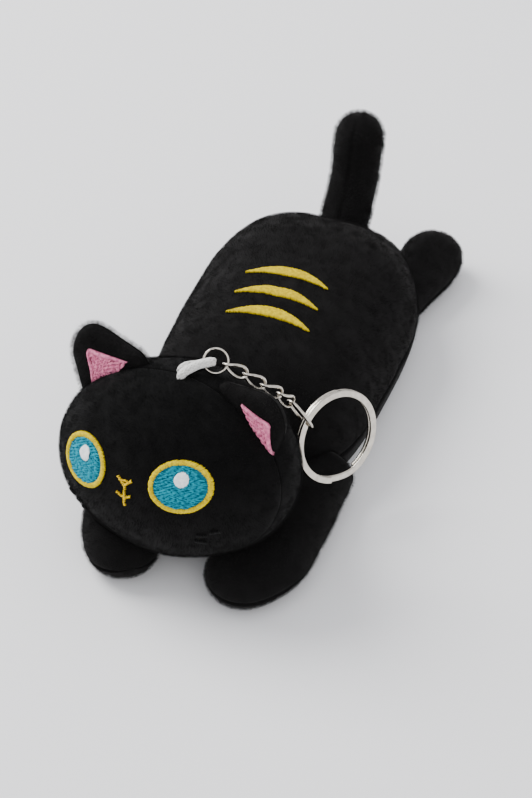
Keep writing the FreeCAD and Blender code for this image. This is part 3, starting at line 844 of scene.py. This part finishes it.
def smooth_path(route, count):
    """Points evenly along a smooth curve through a route, and the curve's length."""
    curve = bpy.data.curves.new("cord_route", "CURVE")
    curve.dimensions = "3D"
    curve.resolution_u = 14
    line = curve.splines.new("NURBS")
    line.points.add(len(route) - 1)
    for point, place in zip(line.points, route):
        point.co = (*(place * MM), 1.0)
    line.order_u = 3
    line.use_endpoint_u = True
    holder = bpy.data.objects.new("cord_route", curve)
    bpy.context.scene.collection.objects.link(holder)
    bpy.context.view_layer.update()
    shaped = holder.evaluated_get(bpy.context.evaluated_depsgraph_get())
    mesh = bpy.data.meshes.new_from_object(shaped)
    path = [v.co / MM for v in mesh.vertices]
    bpy.data.objects.remove(holder)
    reach = [0.0]
    for a, b in zip(path, path[1:]):
        reach.append(reach[-1] + (b - a).length)
    places = np.linspace(0, reach[-1], count)
    xs = [np.interp(places, reach, [p[k] for p in path]) for k in range(3)]
    return [Vector(c) for c in zip(*xs)], reach[-1]


def build_cord():
    """A cord of crossing strands braided round a core."""
    path, length = smooth_path(cord_route(), 210)
    frames = []
    side = None
    for i, place in enumerate(path):
        way = (path[min(i + 1, len(path) - 1)] - path[max(i - 1, 0)]).normalized()
        side = way.orthogonal() if side is None else side
        side = (side - way * side.dot(way)).normalized()
        frames.append((place, side, way.cross(side)))
    braid = Stitches()
    braid.add(path, 0.84, sides=16)
    turns = length / BRAID_PITCH
    for hand in (1, -1):
        phase = 0 if hand > 0 else math.pi
        for k in range(BRAID_STRANDS):
            line = []
            for i, (place, a, b) in enumerate(frames):
                share = i / (len(frames) - 1)
                turn = hand * 2 * math.pi * turns * share + 2 * math.pi * k / BRAID_STRANDS
                weave = 0.1 * math.sin(turn * BRAID_STRANDS / 2 * hand + phase)
                size = 0.9 + weave
                line.append(place + (a * math.cos(turn) + b * math.sin(turn)) * size)
            braid.add(line, 0.24, sides=6)
    thing = braid.build("cord_braid", CORD)
    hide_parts("cord_loop", "cord_knot")
    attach(thing, "plush")


# ---- pile ----
def grow_pile(thing, length, mask, seed, pile):
    """Short hair on a cover, left off where mask is 0. Lengths in millimetres."""
    if mask is not None:
        group = thing.vertex_groups.new(name="pile")
        for index, weight in enumerate(mask):
            if weight > 0:
                group.add([index], float(weight), "REPLACE")
    thing.modifiers.new("pile", "PARTICLE_SYSTEM")
    system = thing.particle_systems[-1]
    system.seed = seed
    settings = system.settings
    settings.type = "HAIR"
    settings.count = int(area_of(thing) * PILE_PER_MM2)
    settings.hair_length = length * MM
    settings.hair_step = 2
    settings.render_step = 2
    settings.display_step = 2
    settings.use_modifier_stack = False
    settings.emit_from = "FACE"
    settings.use_advanced_hair = True
    settings.normal_factor = length / 4 * MM
    settings.tangent_factor = length / 14 * MM
    settings.factor_random = length / 60 * MM
    settings.child_type = "SIMPLE"
    settings.rendered_child_count = PILE_CHILDREN
    settings.child_percent = 1
    settings.child_radius = 1.5 * MM
    settings.roughness_2 = 0.06 * MM
    settings.child_length = 1.0
    settings.root_radius = PILE_THICK
    settings.tip_radius = 0.004
    settings.radius_scale = MM
    settings.material = 2
    thing.data.materials.append(pile)
    if mask is not None:
        system.vertex_group_density = "pile"


def area_of(thing):
    """A mesh's area in square millimetres."""
    return sum(p.area for p in thing.data.polygons) / MM ** 2


def face_mask(thing):
    """1 on plain fabric, 0 under the eyes and the nose."""
    local = to_head(np.array([v.co for v in thing.data.vertices]) / MM)
    keep = np.ones(len(local))
    for side in (-1, 1):
        tilt = math.radians(side * EYE_TILT)
        dx, dz = local[:, 0] - side * EYE_X, local[:, 2] - EYE_Z
        u = dx * math.cos(tilt) + dz * math.sin(tilt)
        w = -dx * math.sin(tilt) + dz * math.cos(tilt)
        inside = (u / (EYE_HALF[0] + 0.15)) ** 2 + (w / (EYE_HALF[1] + 0.15)) ** 2 < 1
        keep[inside & (local[:, 1] < 0)] = 0
    nose = (np.abs(local[:, 0] + 0.1) < 0.6) & (local[:, 2] > -4.5) & (local[:, 2] < 1)
    keep[nose & (local[:, 1] < 0)] = 0
    bridge = (np.abs(local[:, 0]) < 2.4) & (local[:, 2] > 0.9) & (local[:, 2] < 2.9)
    keep[bridge & (local[:, 1] < 0)] = 0
    return keep


def stripe_mask(thing):
    """1 on plain fabric, 0 under the back stripes."""
    at = np.array([v.co for v in thing.data.vertices]) / MM
    keep = np.ones(len(at))
    for cx, cy in STRIPES:
        share = (at[:, 0] - cx) / (STRIPE_HALF + 0.2)
        bow = np.maximum(1 - share ** 2, 0)
        top, bottom = cy + 4.3 * bow, cy + 1.2 * bow
        hit = (np.abs(share) < 1) & (at[:, 1] < top) & (at[:, 1] > bottom) & (at[:, 2] > 25)
        keep[hit] = 0
    return keep


def ear_mask(thing, matrix, name):
    """1 on plain fabric, 0 under the pink patch."""
    inverse = np.linalg.inv(matrix)
    at = np.array([v.co for v in thing.data.vertices]) / MM
    local = at @ inverse[:3, :3].T + inverse[:3, 3]
    outline = pink_outline(name, 0.2, 60)
    return np.array([0.0 if point_in(outline, p[0], p[2]) else 1.0 for p in local])


# ---- stage ----
def build_stage():
    m = Nodes("seamless_paper")
    m.set(Roughness=0.9, Specular_IOR_Level=0.1, Base_Color=(0.93, 0.925, 0.93, 1.0))
    size = 3000.0
    corners = [(-size, -size, 0), (size, -size, 0), (size, size, 0), (-size, size, 0)]
    floor = mesh_object("floor", corners, [(0, 1, 2, 3)], m.material, False)


def add_light(name, place, aim, size, power):
    lamp = bpy.data.lights.new(name, "AREA")
    lamp.shape = "DISK"
    lamp.size = size
    lamp.energy = power
    thing = bpy.data.objects.new(name, lamp)
    thing.location = place
    thing.rotation_euler = (Vector(aim) - Vector(place)).to_track_quat("-Z", "Y").to_euler()
    bpy.context.scene.collection.objects.link(thing)


def build_lights():
    world = bpy.data.worlds.new("studio")
    world.use_nodes = True
    sky = world.node_tree.nodes["Background"]
    sky.inputs["Color"].default_value = (0.95, 0.96, 1.0, 1.0)
    sky.inputs["Strength"].default_value = 1.1
    bpy.context.scene.world = world
    aim = (0.0, -0.02, 0.02)
    add_light("key", (-0.95, 0.25, 1.0), aim, 0.9, 24.0)
    add_light("fill", (0.6, -1.1, 0.8), aim, 1.2, 5.0)


def build_camera():
    camera = bpy.data.cameras.new("camera")
    camera.sensor_fit = "VERTICAL"
    camera.sensor_height = 36.0
    camera.lens = 120.0
    camera.clip_end = 20.0
    thing = bpy.data.objects.new("camera", camera)
    azimuth, elevation = math.radians(19.0), math.radians(40.0)
    target = Vector((2.9, -20.0, 15.0)) * MM
    back = Vector((math.sin(azimuth) * math.cos(elevation),
                   -math.cos(azimuth) * math.cos(elevation), math.sin(elevation)))
    thing.location = target + back * 0.7
    thing.rotation_euler = (-back).to_track_quat("-Z", "Y").to_euler()
    bpy.context.scene.collection.objects.link(thing)
    bpy.context.scene.camera = thing


def finish_metal(frame):
    for name in METAL_BODIES:
        node = frame["nodes"][name]
        node.data.materials.clear()
        node.data.materials.append(METAL)


def main():
    """Everything, in an order that keeps the random draws the same."""
    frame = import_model()
    build_stage()
    build_lights()
    build_camera()
    finish_metal(frame)
    back, belly = build_torso()
    face, crown = build_head()
    place = face_place(Skin(face))
    build_eye(-1, "right_eye", place)
    build_eye(1, "left_eye", place)
    build_marks(place)
    build_stripes(Skin(back))
    piles = [(back, 1.0, stripe_mask(back)), (belly, 1.0, None),
             (face, 1.0, face_mask(face)), (crown, 1.0, None)]
    for name in EARS:
        (front, rear), matrix = build_ear(name)
        embroider_ear(name, Skin(front), matrix)
        piles += [(front, 1.9, ear_mask(front, matrix, name)), (rear, 1.9, None)]
    for name in LEGS:
        piles += [(thing, 1.0, None) for thing in build_leg(name)]
    piles.append((build_tail(), 1.8, None))
    build_cord()
    for seed, (thing, length, mask) in enumerate(piles, start=1):
        # the head's pile uses the material with painted shade by height
        pile = HEAD_PILE_PAINTED_SHADE if thing in (face, crown) else PILE
        grow_pile(thing, length * PILE_LENGTH, mask, seed, pile)


main()
